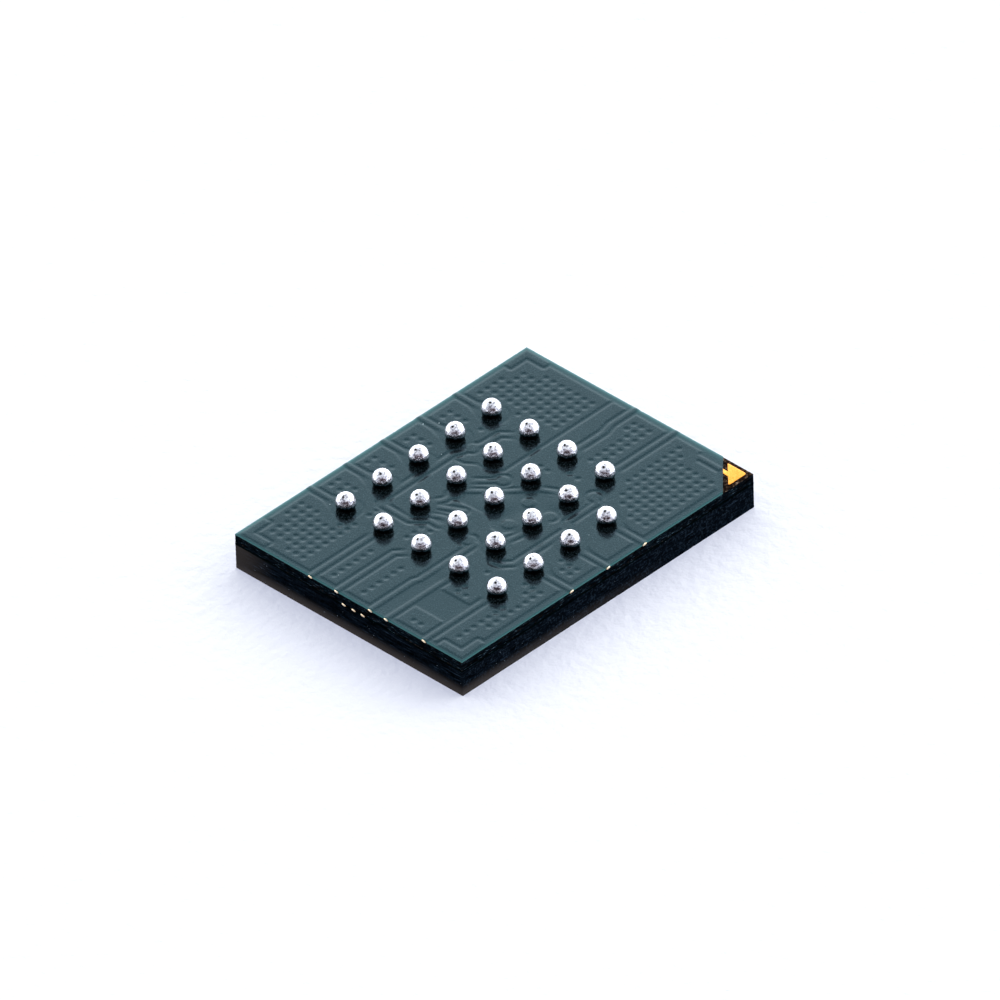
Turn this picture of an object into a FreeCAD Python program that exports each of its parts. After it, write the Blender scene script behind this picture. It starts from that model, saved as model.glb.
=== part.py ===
import FreeCAD, Part
import math
import os
import Sketcher

# Ball grid array memory chip, 24 solder balls on a 5 by 5 grid of 1 mm pitch.
# It lies on its moulded face with the balls up, as in the photograph.
# X runs along the long side and Y along the short side. The origin is the centre of the moulded
# face. Rows A to E run from +X to -X and columns 1 to 5 from -Y to +Y. The corner at +X and -Y
# holds the pin one mark instead of ball A1.

Vector = FreeCAD.Vector
doc = FreeCAD.newDocument("ball_grid_array_chip")
sheet = doc.addObject("Spreadsheet::Sheet", "sizes")

# Driving dimensions in millimetres
SIZES = [
    ("package_length", 8.0),
    ("package_width", 6.0),
    ("mould_height", 0.56),
    ("mask_thickness", 0.03),
    ("copper_thickness", 0.015),
    ("core_thickness", 0.2),
    ("ball_pitch", 1.0),
    ("ball_diameter", 0.4),
    ("crown_flat", 0.0005),
    ("opening_diameter", 0.3),
    ("opening_clearance", 0.002),
    ("land_diameter", 0.45),
    ("trace_width", 0.11),
    ("copper_gap", 0.08),
    ("via_diameter", 0.15),
    ("via_pad_diameter", 0.27),
    ("pour_margin", 0.155),
    ("corner_mark_inset", 0.08),
    ("corner_mark_length", 0.62),
    ("corner_mark_width", 0.17),
    ("corner_cut_length", 0.85),
    ("corner_cut_width", 0.8),
    ("corner_cut_margin", 0.165),
    ("pin_mark_side", 0.5),
    ("pin_mark_inset_length", 0.09),
    ("pin_mark_inset_width", 0.1),
    ("pin_mark_fillet", 0.045),
    ("pin_neck_inset", 0.28),
    ("pin_neck_end", 0.58),
    ("pin_neck_join", 1.07),
    ("pin_neck_margin", 0.14),
    ("bare_patch_inset", 0.67),
    ("bare_patch_length", 0.71),
    ("die_length", 4.2),
    ("die_width", 3.0),
    ("die_thickness", 0.2),
    ("film_thickness", 0.02),
    ("pad_inset", 0.1),
    ("wire_width", 0.025),
    ("loop_height", 0.1),
    ("wire_rise", 0.06),
    ("finger_reach", 0.5),
    ("finger_length", 0.34),
    ("window_length", 0.5),
    ("window_margin", 0.12),
]

for row, (alias, value) in enumerate(SIZES, start=1):
    sheet.set(f"A{row}", alias)
    sheet.set(f"B{row}", str(value))
    sheet.setAlias(f"B{row}", alias)
doc.recompute()


def size(alias):
    return float(sheet.get(alias))


# Places on the grid, counted in pitches from its centre
GRID_STEPS = (-2, -1, 0, 1, 2)
ROW_LETTERS = "edcba"
EMPTY_PLACE = (2, -2)
BALL_PLACES = [(i, j) for i in GRID_STEPS for j in GRID_STEPS if (i, j) != EMPTY_PLACE]

# Traces on the ball side, as centre lines in pitches. A word stands for that edge of the package.
TOP_STUBS = [[(i, GRID_STEPS[-1]), (i, "back")] for i in GRID_STEPS]
BOTTOM_STUBS = [[(i, GRID_STEPS[0]), (i, "front")] for i in GRID_STEPS[1:-1]]
SIDE_STUBS = [
    [(-2, 1), ("left", 1)],
    [(-2, -1), ("left", -1)],
    [(-2, -2), ("left", -2)],
    [(2, -1), ("right", -1)],
]
BENT_STUBS = [
    [(2, 0), (3.02, 0), (3.28, 0.07), ("right", 0.07)],
    [(-2, 0), (-2.15, 0.05), (-2.42, 0.31), ("left", 0.31)],
    [(-1.17, -0.45), (-1.17, -0.63), (-2.68, -0.63), (-2.8, -0.58), ("left", -0.58)],
]
INNER_TRACES = [
    [(2, 1), (1.8, 1.2), (1.62, 1.42), (1.2, 1.44), (0.97, 1.52)],
    [(0.97, 1.52), (0.75, 1.58), (0.6, 1.66), (-1.3, 1.66), (-1.48, 1.52), (-1.48, 0.82),
     (-1.22, 0.52), (-1.22, 0.3), (-1, 0)],
    [(-1, 0), (-1.17, -0.45)],
    [(0, 1), (0.22, 0.78), (0.45, 0.53), (0.62, 0.37)],
    [(0, 1), (-0.14, 0.72), (0.12, 0.42), (0, 0)],
    [(0, 0), (0.33, 0.16), (0.66, -0.14), (0.9, -0.37), (1.03, -0.62), (1, -1)],
    [(-1, 1), (-0.72, 0.86), (-0.58, 0.77), (-0.3, 0.76)],
    [(0, -1), (-0.18, -0.82), (-0.3, -0.66)],
    [(-1, -1), (-0.62, -1.02), (-0.3, -1.08), (0, -1)],
    [(0, -1), (0.4, -1.08)],
    [(-1, -1), (-1.33, -1.28), (-1.3, -1.46), (-1.13, -1.62), (0.35, -1.62), (0.5, -1.46),
     (1.3, -1.46), (1.42, -1.28)],
]
TRACES = TOP_STUBS + BOTTOM_STUBS + SIDE_STUBS + BENT_STUBS + INNER_TRACES

# Gap between the ground pour and the supply pour, and a band and a patch without copper
POUR_GAP = [(2, 0.565), ("right", 0.565)]
BARE_BAND = [("left", -0.65), (-2, -0.65), (-2, -0.92), ("left", -0.92)]
BARE_PATCH_FROM = -1.05
BARE_PATCH_TO = -1.9

# Traces on the die side, from each bond finger to its via. Three have tails to the left edge.
RIGHT_FINGERS = [
    [1, (1.45, 1), (0.97, 1.52)],
    [0.5, (0.8, 0.5), (0.62, 0.37)],
    [0, (0.9, 0), (0.45, -0.47)],
    [-0.5, (0.95, -0.5), (0.4, -1.08)],
    [-1, (1.6, -1), (1.42, -1.28)],
]
LEFT_FINGERS = [
    [0.12, (-0.87, 0.12), (-0.3, 0.76)],
    [-0.14, (-0.82, -0.14), (-0.3, -0.66)],
    [-0.38, (-1.5, -0.38), (-1.17, -0.45)],
]
VIA_PLACES = [finger[-1] for finger in RIGHT_FINGERS + LEFT_FINGERS]

# Round copper under the mask and the openings under the balls have few sides, because they repeat
ROUND_SIDES = 6
OPENING_SIDES = 8

# Levels from the floor up, for the code and as expressions over the same cells
die_side = size("mould_height")
core_bottom = die_side + size("mask_thickness")
core_top = core_bottom + size("core_thickness")
DIE_SIDE = "sizes.mould_height"
CORE_BOTTOM = DIE_SIDE + " + sizes.mask_thickness"
CORE_TOP = CORE_BOTTOM + " + sizes.core_thickness"
LAND_TOP = CORE_TOP + " + sizes.copper_thickness"
HALF_LENGTH = "sizes.package_length / 2"
HALF_WIDTH = "sizes.package_width / 2"

half_length = size("package_length") / 2
half_width = size("package_width") / 2
pitch = size("ball_pitch")
copper = size("copper_thickness")
gap = size("copper_gap")
trace_width = size("trace_width")
EDGES = {"left": -half_length, "right": half_length, "front": -half_width, "back": half_width}


def bind(item, expressions):
    """Ties properties of an object to cells of the sheet."""
    for name, expression in expressions.items():
        item.setExpression(name, expression)
    return item


def block(name, length, width, height, bottom):
    """A box centred on the Z axis. Every size is an expression."""
    item = doc.addObject("Part::Box", name)
    return bind(item, {
        "Length": length,
        "Width": width,
        "Height": height,
        "Placement.Base.x": f"-({length}) / 2",
        "Placement.Base.y": f"-({width}) / 2",
        "Placement.Base.z": bottom,
    })


def joined(name, items):
    fuse = doc.addObject("Part::MultiFuse", name)
    fuse.Shapes = items
    return fuse


def cut(name, base, tools):
    item = doc.addObject("Part::Cut", name)
    item.Base = base
    item.Tool = joined(name + "_tools", tools) if len(tools) > 1 else tools[0]
    return item


def draw_outline(sketch, corners):
    """A closed polygon whose corners are held by two expressions each."""
    count = len(corners)
    start = [Vector(math.cos(2 * math.pi * k / count), math.sin(2 * math.pi * k / count), 0)
             for k in range(count)]
    for k in range(count):
        sketch.addGeometry(Part.LineSegment(start[k], start[(k + 1) % count]), False)
    for k in range(count):
        sketch.addConstraint(Sketcher.Constraint("Coincident", k, 2, (k + 1) % count, 1))
    for k, (x_text, y_text) in enumerate(corners):
        across = sketch.addConstraint(Sketcher.Constraint("DistanceX", -1, 1, k, 1, start[k].x))
        along = sketch.addConstraint(Sketcher.Constraint("DistanceY", -1, 1, k, 1, start[k].y))
        sketch.setExpression(f"Constraints[{across}]", x_text)
        sketch.setExpression(f"Constraints[{along}]", y_text)


def spot(point):
    """A place given in pitches, or by the name of an edge, as millimetres."""
    return Vector(*[EDGES[value] if value in EDGES else value * pitch for value in point], 0)


def prism(corners, bottom, height):
    """An upright solid over a closed outline."""
    ring = [Vector(corner.x, corner.y, bottom) for corner in corners]
    return Part.Face(Part.makePolygon(ring + ring[:1])).extrude(Vector(0, 0, height))


def round_outline(centre, diameter):
    """A regular outline whose sides touch the circle from outside."""
    reach = diameter / 2 / math.cos(math.pi / ROUND_SIDES)
    angles = [math.pi * (2 * k + 1) / ROUND_SIDES for k in range(ROUND_SIDES)]
    return [centre + Vector(reach * math.cos(a), reach * math.sin(a), 0) for a in angles]


def rectangle(x_from, x_to, y_from, y_to):
    return [Vector(x_from, y_from), Vector(x_to, y_from), Vector(x_to, y_to), Vector(x_from, y_to)]


def strip_outline(points, width):
    """The outline of a band of even width along a bent line, with mitred corners."""
    turns = []
    for k in range(len(points)):
        before = (points[k] - points[k - 1]).normalize() if k else None
        after = (points[k + 1] - points[k]).normalize() if k + 1 < len(points) else None
        before = before or after
        after = after or before
        side = Vector(-before.y - after.y, before.x + after.x, 0).normalize()
        turns.append(side * (width / 2 / side.dot(Vector(-after.y, after.x, 0))))
    left = [point + turn for point, turn in zip(points, turns)]
    right = [point - turn for point, turn in zip(points, turns)]
    return left + right[::-1]


def merged(solids):
    """One shape of solids, with those that meet grown together."""
    return solids[0].multiFuse(solids[1:]).removeSplitter()


def feature(name, shape):
    item = doc.addObject("Part::Feature", name)
    item.Shape = shape
    return item


# Laminate core with its plated vias

core_plate = block("core_plate", "sizes.package_length", "sizes.package_width",
                   "sizes.core_thickness", CORE_BOTTOM)
via_solids = [prism(round_outline(spot(place), size("via_diameter")), core_bottom,
                    size("core_thickness")) for place in VIA_PLACES]
core_vias = feature("core_vias", Part.makeCompound(via_solids))
laminate_core = cut("laminate_core", core_plate, [core_vias])

# Ball side traces, lands and via pads


def ball_side(outline):
    return prism(outline, core_top, copper)


trace_solids = [ball_side(strip_outline([spot(p) for p in trace], trace_width)) for trace in TRACES]
land_solids = [ball_side(round_outline(spot(place), size("land_diameter")))
               for place in BALL_PLACES]
pad_solids = [ball_side(round_outline(spot(place), size("via_pad_diameter")))
              for place in VIA_PLACES]
signal_copper = feature("signal_copper", merged(trace_solids + land_solids + pad_solids))

# Corner marks, an angle of copper in each corner except pin one's


def mark_outline(x_side, y_side, growth):
    """An angle that points into one corner of the package, grown on every side."""
    near = size("corner_mark_inset") - growth
    far = size("corner_mark_inset") + size("corner_mark_length") + growth
    inner = size("corner_mark_inset") + size("corner_mark_width") + growth
    corners = [(near, near), (far, near), (far, inner), (inner, inner), (inner, far), (near, far)]
    return [Vector(x_side * (half_length - x), y_side * (half_width - y)) for x, y in corners]


MARKED_CORNERS = [(-1, -1), (-1, 1), (1, 1)]
mark_solids = [ball_side(mark_outline(x, y, 0)) for x, y in MARKED_CORNERS]
corner_marks = feature("corner_marks", Part.makeCompound(mark_solids))

# Copper pours between the edges and the ball field, with a gap round all other copper.
# The ball field leaves out the place without a ball.


def keepout(outline):
    return prism(outline, core_top - copper, 3 * copper)


neck_right = half_length - size("pin_neck_inset")
neck_left = neck_right - trace_width
neck_end = size("pin_neck_end") - half_width
neck_join = size("pin_neck_join") - half_width
patch_left = size("bare_patch_inset") - half_length

field = GRID_STEPS[-1] * pitch + size("land_diameter") / 2 + gap
notch = field - pitch
keepouts = [keepout([Vector(-field, -field), Vector(notch, -field), Vector(notch, -notch),
                     Vector(field, -notch), Vector(field, field), Vector(-field, field)])]
keepouts += [keepout(strip_outline([spot(p) for p in trace], trace_width + 2 * gap))
             for trace in TRACES]
keepouts += [keepout(round_outline(spot(place), size("via_pad_diameter") + 2 * gap))
             for place in VIA_PLACES]
keepouts += [keepout(mark_outline(x, y, gap)) for x, y in MARKED_CORNERS]
keepouts.append(keepout(strip_outline([spot(p) for p in POUR_GAP], gap)))
keepouts.append(keepout([spot(p) for p in BARE_BAND]))
keepouts.append(keepout(rectangle(patch_left, patch_left + size("bare_patch_length"),
                                  BARE_PATCH_TO * pitch, BARE_PATCH_FROM * pitch)))

# Round the pin one corner the pour stops short of the cut in the mask and sends a neck to the mark
cut_margin = size("corner_cut_margin")
keepouts.append(keepout([
    Vector(half_length - size("corner_cut_length") - cut_margin, -half_width),
    Vector(half_length, -half_width),
    Vector(half_length, size("corner_cut_width") + cut_margin - half_width),
]))
keepouts.append(keepout(rectangle(neck_right, half_length, -half_width,
                                  neck_join + size("pin_neck_margin"))))
keepouts.append(keepout(rectangle(neck_left - gap, neck_left, -half_width, neck_join)))

edge = size("pour_margin")
pour_field = ball_side(rectangle(edge - half_length, half_length - edge,
                                 edge - half_width, half_width - edge))
neck_solid = ball_side(rectangle(neck_left, neck_right, neck_end, neck_join))
pour_solids = merged([pour_field.cut(keepouts), neck_solid])
copper_pours = feature("copper_pours", pour_solids)

# Pin one mark, a gold plated triangle on the bare corner with a tab to the pour's neck

MARK_RIGHT = f"{HALF_LENGTH} - sizes.pin_mark_inset_length"
MARK_FRONT = f"sizes.pin_mark_inset_width - {HALF_WIDTH}"
MARK_SIDE = "sizes.pin_mark_side"
NECK_RIGHT = f"{HALF_LENGTH} - sizes.pin_neck_inset"
NECK_LEFT = f"{NECK_RIGHT} - sizes.trace_width"
NECK_END = f"sizes.pin_neck_end - {HALF_WIDTH}"
SLOPE_AT_RIGHT = f"{MARK_FRONT} + {MARK_SIDE} + sizes.pin_mark_inset_length - sizes.pin_neck_inset"

pin_one_mark = doc.addObject("PartDesign::Body", "pin_one_mark")
mark_sketch = pin_one_mark.newObject("Sketcher::SketchObject", "mark_outline")
planes = [item for item in pin_one_mark.Origin.OriginFeatures if item.Role == "XY_Plane"]
mark_sketch.AttachmentSupport = (planes[0], [""])
mark_sketch.MapMode = "FlatFace"
draw_outline(mark_sketch, [
    (MARK_RIGHT, MARK_FRONT),
    (MARK_RIGHT, f"{MARK_FRONT} + {MARK_SIDE}"),
    (NECK_RIGHT, SLOPE_AT_RIGHT),
    (NECK_RIGHT, NECK_END),
    (NECK_LEFT, NECK_END),
    (NECK_LEFT, f"{SLOPE_AT_RIGHT} - sizes.trace_width"),
    (f"{MARK_RIGHT} - {MARK_SIDE}", MARK_FRONT),
])
mark_pad = pin_one_mark.newObject("PartDesign::Pad", "mark_pad")
mark_pad.Profile = mark_sketch
bind(mark_pad, {"Length": "sizes.copper_thickness"})
bind(pin_one_mark, {"Placement.Base.z": CORE_TOP})
doc.recompute()

mark_right = half_length - size("pin_mark_inset_length")
mark_front = size("pin_mark_inset_width") - half_width
mark_side = size("pin_mark_side")
mark_corners = [Vector(mark_right, mark_front), Vector(mark_right, mark_front + mark_side),
                Vector(mark_right - mark_side, mark_front)]


def is_mark_corner(side):
    """Tells whether an upright edge of the pad stands on one of the triangle's corners."""
    ends = [vertex.Point for vertex in side.Vertexes]
    foot = Vector(ends[0].x, ends[0].y)
    upright = foot.isEqual(Vector(ends[-1].x, ends[-1].y), 1e-6)
    return upright and any(foot.isEqual(corner, 1e-6) for corner in mark_corners)


corner_edges = [f"Edge{k}" for k, side in enumerate(mark_pad.Shape.Edges, start=1)
                if is_mark_corner(side)]
mark_rounding = pin_one_mark.newObject("PartDesign::Fillet", "mark_rounding")
mark_rounding.Base = (mark_pad, corner_edges)
bind(mark_rounding, {"Radius": "sizes.pin_mark_fillet"})

# Ball side mask, cut away at the pin one corner and opened over every land

mask_sketch = doc.addObject("Sketcher::SketchObject", "mask_outline")
draw_outline(mask_sketch, [
    (f"-{HALF_LENGTH}", f"-{HALF_WIDTH}"),
    (f"{HALF_LENGTH} - sizes.corner_cut_length", f"-{HALF_WIDTH}"),
    (HALF_LENGTH, f"sizes.corner_cut_width - {HALF_WIDTH}"),
    (HALF_LENGTH, HALF_WIDTH),
    (f"-{HALF_LENGTH}", HALF_WIDTH),
])
mask_plate = doc.addObject("Part::Extrusion", "ball_side_mask_plate")
mask_plate.Base = mask_sketch
mask_plate.DirMode = "Custom"
mask_plate.Dir = Vector(0, 0, 1)
mask_plate.Solid = True
bind(mask_plate, {"LengthFwd": "sizes.mask_thickness", "Placement.Base.z": CORE_TOP})


def opening(place):
    """A hole in the mask that its ball fills, with flats outside the ball by a small clearance."""
    item = doc.addObject("Part::Prism", f"opening_{place[0] + 2}_{place[1] + 2}")
    item.Polygon = OPENING_SIDES
    return bind(item, {
        "Circumradius": f"(sizes.opening_diameter / 2 + sizes.opening_clearance)"
                        f" / cos(180 / {OPENING_SIDES})",
        "Height": "sizes.mask_thickness",
        "Placement.Base.x": f"{place[0]} * sizes.ball_pitch",
        "Placement.Base.y": f"{place[1]} * sizes.ball_pitch",
        "Placement.Base.z": CORE_TOP,
    })


openings = [opening(place) for place in BALL_PLACES]
ball_side_mask = cut("ball_side_mask", mask_plate,
                     [signal_copper, copper_pours, corner_marks, pin_one_mark] + openings)

# Solder balls, one profile turned round an upright axis at every place of the grid.
# The profile starts on the land, touches the rim of the mask's opening and ends in the crown.
# It has one arc under the ball's widest circle and one over it.

CENTRE_HEIGHT = ("sizes.mask_thickness - sizes.copper_thickness"
                 " + sqrt((sizes.ball_diameter / 2) ^ 2 - (sizes.opening_diameter / 2) ^ 2)")
ball_radius = size("ball_diameter") / 2
rim_depth = math.sqrt(ball_radius**2 - (size("opening_diameter") / 2) ** 2)
centre_height = size("mask_thickness") - copper + rim_depth
arc_radius = ball_radius - size("crown_flat")
foot_angle = -math.asin(centre_height / arc_radius)
foot = Vector(size("crown_flat") + arc_radius * math.cos(foot_angle), 0)
arc_top = Vector(size("crown_flat"), centre_height + arc_radius)
axis_top = Vector(0, arc_top.y)

ball_sketch = doc.addObject("Sketcher::SketchObject", "ball_profile")
ball_sketch.Placement = FreeCAD.Placement(Vector(), FreeCAD.Rotation(Vector(1, 0, 0), 90))
arc_circle = Part.Circle(Vector(size("crown_flat"), centre_height), Vector(0, 0, 1), arc_radius)
ball_sketch.addGeometry(Part.ArcOfCircle(arc_circle, foot_angle, 0), False)
ball_sketch.addGeometry(Part.ArcOfCircle(arc_circle, 0, math.pi / 2), False)
ball_sketch.addGeometry(Part.LineSegment(arc_top, axis_top), False)
ball_sketch.addGeometry(Part.LineSegment(axis_top, Vector()), False)
ball_sketch.addGeometry(Part.LineSegment(Vector(), foot), False)
ball_sketch.addConstraint([
    Sketcher.Constraint("Coincident", 0, 2, 1, 1),
    Sketcher.Constraint("Coincident", 0, 3, 1, 3),
    Sketcher.Constraint("Coincident", 1, 2, 2, 1),
    Sketcher.Constraint("Coincident", 2, 2, 3, 1),
    Sketcher.Constraint("Coincident", 3, 2, 4, 1),
    Sketcher.Constraint("Coincident", 4, 2, 0, 1),
    Sketcher.Constraint("Coincident", 3, 2, -1, 1),
    Sketcher.Constraint("Vertical", 3),
    Sketcher.Constraint("Horizontal", 2),
    Sketcher.Constraint("Horizontal", 4),
    Sketcher.Constraint("Horizontal", 1, 3, 1, 1),
    Sketcher.Constraint("Vertical", 1, 3, 1, 2),
])
flat_rule = ball_sketch.addConstraint(
    Sketcher.Constraint("DistanceX", -1, 1, 0, 3, size("crown_flat")))
height_rule = ball_sketch.addConstraint(
    Sketcher.Constraint("DistanceY", -1, 1, 0, 3, centre_height))
radius_rule = ball_sketch.addConstraint(Sketcher.Constraint("Radius", 0, arc_radius))
bind(ball_sketch, {
    f"Constraints[{flat_rule}]": "sizes.crown_flat",
    f"Constraints[{height_rule}]": CENTRE_HEIGHT,
    f"Constraints[{radius_rule}]": "sizes.ball_diameter / 2 - sizes.crown_flat",
})


def solder_ball(place):
    letter = ROW_LETTERS[place[0] + 2]
    ball = doc.addObject("Part::Revolution", f"ball_{letter}{place[1] + 3}")
    ball.Source = ball_sketch
    ball.Axis = Vector(0, 0, 1)
    ball.Angle = 360
    ball.Solid = True
    return bind(ball, {
        "Placement.Base.x": f"{place[0]} * sizes.ball_pitch",
        "Placement.Base.y": f"{place[1]} * sizes.ball_pitch",
        "Placement.Base.z": LAND_TOP,
    })


balls = [solder_ball(place) for place in BALL_PLACES]

# Silicon die on its film, hung under the die side of the laminate

die_attach_film = block("die_attach_film", "sizes.die_length", "sizes.die_width",
                        "sizes.film_thickness", f"{DIE_SIDE} - sizes.film_thickness")
silicon_die = block("silicon_die", "sizes.die_length", "sizes.die_width", "sizes.die_thickness",
                    f"{DIE_SIDE} - sizes.film_thickness - sizes.die_thickness")

# Die side copper, a bond finger and a trace for each wire, pads at the vias and tails at the edge

finger_centre = size("die_length") / 2 + size("finger_reach")
finger_half = size("finger_length") / 2


def die_copper(outline):
    return prism(outline, core_bottom - copper, copper)


def die_trace(side, y, bends):
    start = Vector(side * (finger_centre + finger_half), y * pitch)
    return die_copper(strip_outline([start] + [spot(p) for p in bends], trace_width))


tails = [die_copper(strip_outline([spot(("left", y)), Vector(-finger_centre, y * pitch)],
                                  trace_width)) for y, *bends in LEFT_FINGERS]
die_solids = [die_trace(1, y, bends) for y, *bends in RIGHT_FINGERS]
die_solids += [die_trace(-1, y, bends) for y, *bends in LEFT_FINGERS]
die_solids += [die_copper(round_outline(spot(place), size("via_pad_diameter")))
               for place in VIA_PLACES]
die_side_copper = feature("die_side_copper", merged(die_solids + tails))

# Bond wires, from a pad on the die's face, over a low loop, to the finger

die_face = die_side - size("film_thickness") - size("die_thickness")
finger_face = core_bottom - copper
pad_reach = size("die_length") / 2 - size("pad_inset")
loop_level = die_face - size("loop_height")


def bond_wire(side, y):
    path = [
        (pad_reach, die_face),
        (pad_reach, loop_level),
        (finger_centre, finger_face - size("wire_rise")),
        (finger_centre, finger_face),
    ]
    outline = strip_outline([Vector(x, z) for x, z in path], size("wire_width"))
    near = y * pitch - size("wire_width") / 2
    ring = [Vector(side * corner.x, near, corner.y) for corner in outline]
    face = Part.Face(Part.makePolygon(ring + ring[:1]))
    return face.extrude(Vector(0, size("wire_width"), 0))


wire_solids = [bond_wire(1, y) for y, *bends in RIGHT_FINGERS]
wire_solids += [bond_wire(-1, y) for y, *bends in LEFT_FINGERS]
bond_wires = feature("bond_wires", Part.makeCompound(wire_solids))

# Windows in the die side mask over both rows of fingers, filled by the mould compound


def finger_window(name, side, fingers):
    """A box over the row of fingers on one side of the die."""
    low = f"{min(y for y, *bends in fingers)} * sizes.ball_pitch - sizes.window_margin"
    high = f"{max(y for y, *bends in fingers)} * sizes.ball_pitch + sizes.window_margin"
    item = doc.addObject("Part::Box", name)
    return bind(item, {
        "Length": "sizes.window_length",
        "Width": f"({high}) - ({low})",
        "Height": "sizes.mask_thickness",
        "Placement.Base.x": f"{side} * (sizes.die_length / 2 + sizes.finger_reach)"
                            " - sizes.window_length / 2",
        "Placement.Base.y": low,
        "Placement.Base.z": DIE_SIDE,
    })


windows = [finger_window("right_window", 1, RIGHT_FINGERS),
           finger_window("left_window", -1, LEFT_FINGERS)]
die_mask_plate = block("die_side_mask_plate", "sizes.package_length", "sizes.package_width",
                       "sizes.mask_thickness", DIE_SIDE)
die_side_mask = cut("die_side_mask", die_mask_plate, [die_side_copper] + windows)

# Mould cap, cast round the die, the wires and the fingers

cap_block = block("cap_block", "sizes.package_length", "sizes.package_width",
                  "sizes.mould_height", "0")
cap_casting = joined("cap_casting", [cap_block] + windows)
mould_cap = cut("mould_cap", cap_casting,
                [silicon_die, die_attach_film, bond_wires, die_side_copper])

doc.recompute()

sub_parts = [mould_cap, silicon_die, die_attach_film, bond_wires, die_side_copper, die_side_mask,
             laminate_core, core_vias, signal_copper, copper_pours, corner_marks, pin_one_mark,
             ball_side_mask] + balls

for item in doc.Objects:
    if "Invalid" in item.State or "Error" in item.State:
        raise RuntimeError(f"{item.Name} did not compute: {item.State}")
for item in sub_parts:
    if item.Shape.isNull() or not item.Shape.isValid():
        raise RuntimeError(f"{item.Name} has no valid shape")

os.makedirs("parts", exist_ok=True)
for item in sub_parts:
    item.Label = item.Name
    item.Shape.exportStep(f"parts/{item.Label}.step")
    print(f"{item.Label}: {len(item.Shape.Solids)} solids, {item.Shape.Volume:.5f} cubic mm")
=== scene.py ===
# %% [markdown]
# # A ball grid array chip, dressed in Blender
# The chip is a thin sandwich: black moulding compound, a glass fibre laminate, and a glossy
# green film of solder mask with 24 solder balls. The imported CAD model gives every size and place.
# Each cell below makes one piece or one finish and says why it is made that way.

# %% Load the fixed frame
import math
import random

import bmesh
import bpy
import numpy as np
from mathutils import Matrix, Vector, noise


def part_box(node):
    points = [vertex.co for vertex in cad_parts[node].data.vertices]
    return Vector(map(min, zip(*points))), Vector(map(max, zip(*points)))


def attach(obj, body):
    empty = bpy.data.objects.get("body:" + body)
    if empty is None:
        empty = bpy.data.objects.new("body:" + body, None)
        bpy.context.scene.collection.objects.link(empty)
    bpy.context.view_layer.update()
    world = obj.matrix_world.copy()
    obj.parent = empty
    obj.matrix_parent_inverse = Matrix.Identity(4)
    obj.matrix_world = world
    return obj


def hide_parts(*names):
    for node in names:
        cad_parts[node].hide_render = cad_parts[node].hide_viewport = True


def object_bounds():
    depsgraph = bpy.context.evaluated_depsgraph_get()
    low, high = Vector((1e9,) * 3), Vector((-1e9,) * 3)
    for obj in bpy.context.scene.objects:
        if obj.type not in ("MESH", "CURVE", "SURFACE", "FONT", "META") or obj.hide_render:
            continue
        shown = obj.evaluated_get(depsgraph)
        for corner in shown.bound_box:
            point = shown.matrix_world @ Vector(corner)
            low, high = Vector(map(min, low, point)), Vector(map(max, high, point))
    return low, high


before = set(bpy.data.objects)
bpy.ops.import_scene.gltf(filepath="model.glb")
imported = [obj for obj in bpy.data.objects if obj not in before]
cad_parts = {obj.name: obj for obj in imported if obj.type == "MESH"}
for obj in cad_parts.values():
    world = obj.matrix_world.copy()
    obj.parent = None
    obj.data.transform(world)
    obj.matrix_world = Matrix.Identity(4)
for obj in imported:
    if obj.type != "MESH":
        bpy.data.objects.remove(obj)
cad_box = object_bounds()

MM = 0.001
CLOSE = 1e-9  # metres: two places nearer than this are one
print("The object is", [round(v / MM, 3) for v in cad_box[1] - cad_box[0]], "mm")

# %% [markdown]
# ## Levels and outline
# Everything is stacked on the moulded face. The levels could be typed in, but they are read from
# the boxes of the CAD nodes, so that the scene follows the CAD model. Lengths in this lesson are
# in millimetres and turn to metres when a mesh gets them.

# %% Read levels from the frame
def level(node, top):
    """The bottom or the top of a CAD node, in millimetres."""
    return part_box(node)[1 if top else 0].z / MM


HALF_X = cad_box[1].x / MM
HALF_Y = cad_box[1].y / MM
MOULD_TOP = level("mould_cap", top=False) + level("die_side_mask", top=False)
CORE_BOTTOM = level("laminate_core", top=False)
CORE_TOP = level("laminate_core", top=True)
COPPER_TOP = level("signal_copper", top=True)
FILM_TOP = level("ball_side_mask", top=True)
BALL_TOP = level("ball_c3", top=True)
BALL_RADIUS = (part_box("ball_c3")[1].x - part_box("ball_c3")[0].x) / 2 / MM
print("Levels:", MOULD_TOP, CORE_BOTTOM, CORE_TOP, COPPER_TOP, FILM_TOP, BALL_TOP)

# %% [markdown]
# ## Small helpers
# An operator acts on all that is selected, so each step starts from nothing selected. A finished
# piece has its place in its mesh and rides on the one body of a chip.

# %% Helpers for objects
def deselect():
    bpy.ops.object.select_all(action="DESELECT")


def freeze(piece):
    """Puts the piece's place, turn and scale into its mesh."""
    deselect()
    piece.select_set(True)
    bpy.context.view_layer.objects.active = piece
    bpy.ops.object.transform_apply(location=True, rotation=True, scale=True)


def copy_of(master):
    """A copy that has a mesh of its own."""
    copy = master.copy()
    copy.data = master.data.copy()
    bpy.context.scene.collection.objects.link(copy)
    return copy


def finish_piece(piece, name, material, slot, *nodes):
    """Names a piece, gives it its finish and hides the CAD nodes that it takes the place of."""
    piece.name = piece.data.name = name
    piece.data.materials.clear()
    piece.data.materials.append(material)
    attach(piece, "root")
    if nodes:
        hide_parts(*nodes)
    triangles = sum(len(face.vertices) - 2 for face in piece.data.polygons)
    print(f"{name}: {triangles} triangles")
    return piece


def points_of(mesh):
    """The vertices of a mesh as rows of millimetres."""
    flat = np.empty(len(mesh.vertices) * 3)
    mesh.vertices.foreach_get("co", flat)
    return flat.reshape(-1, 3) / MM


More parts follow.
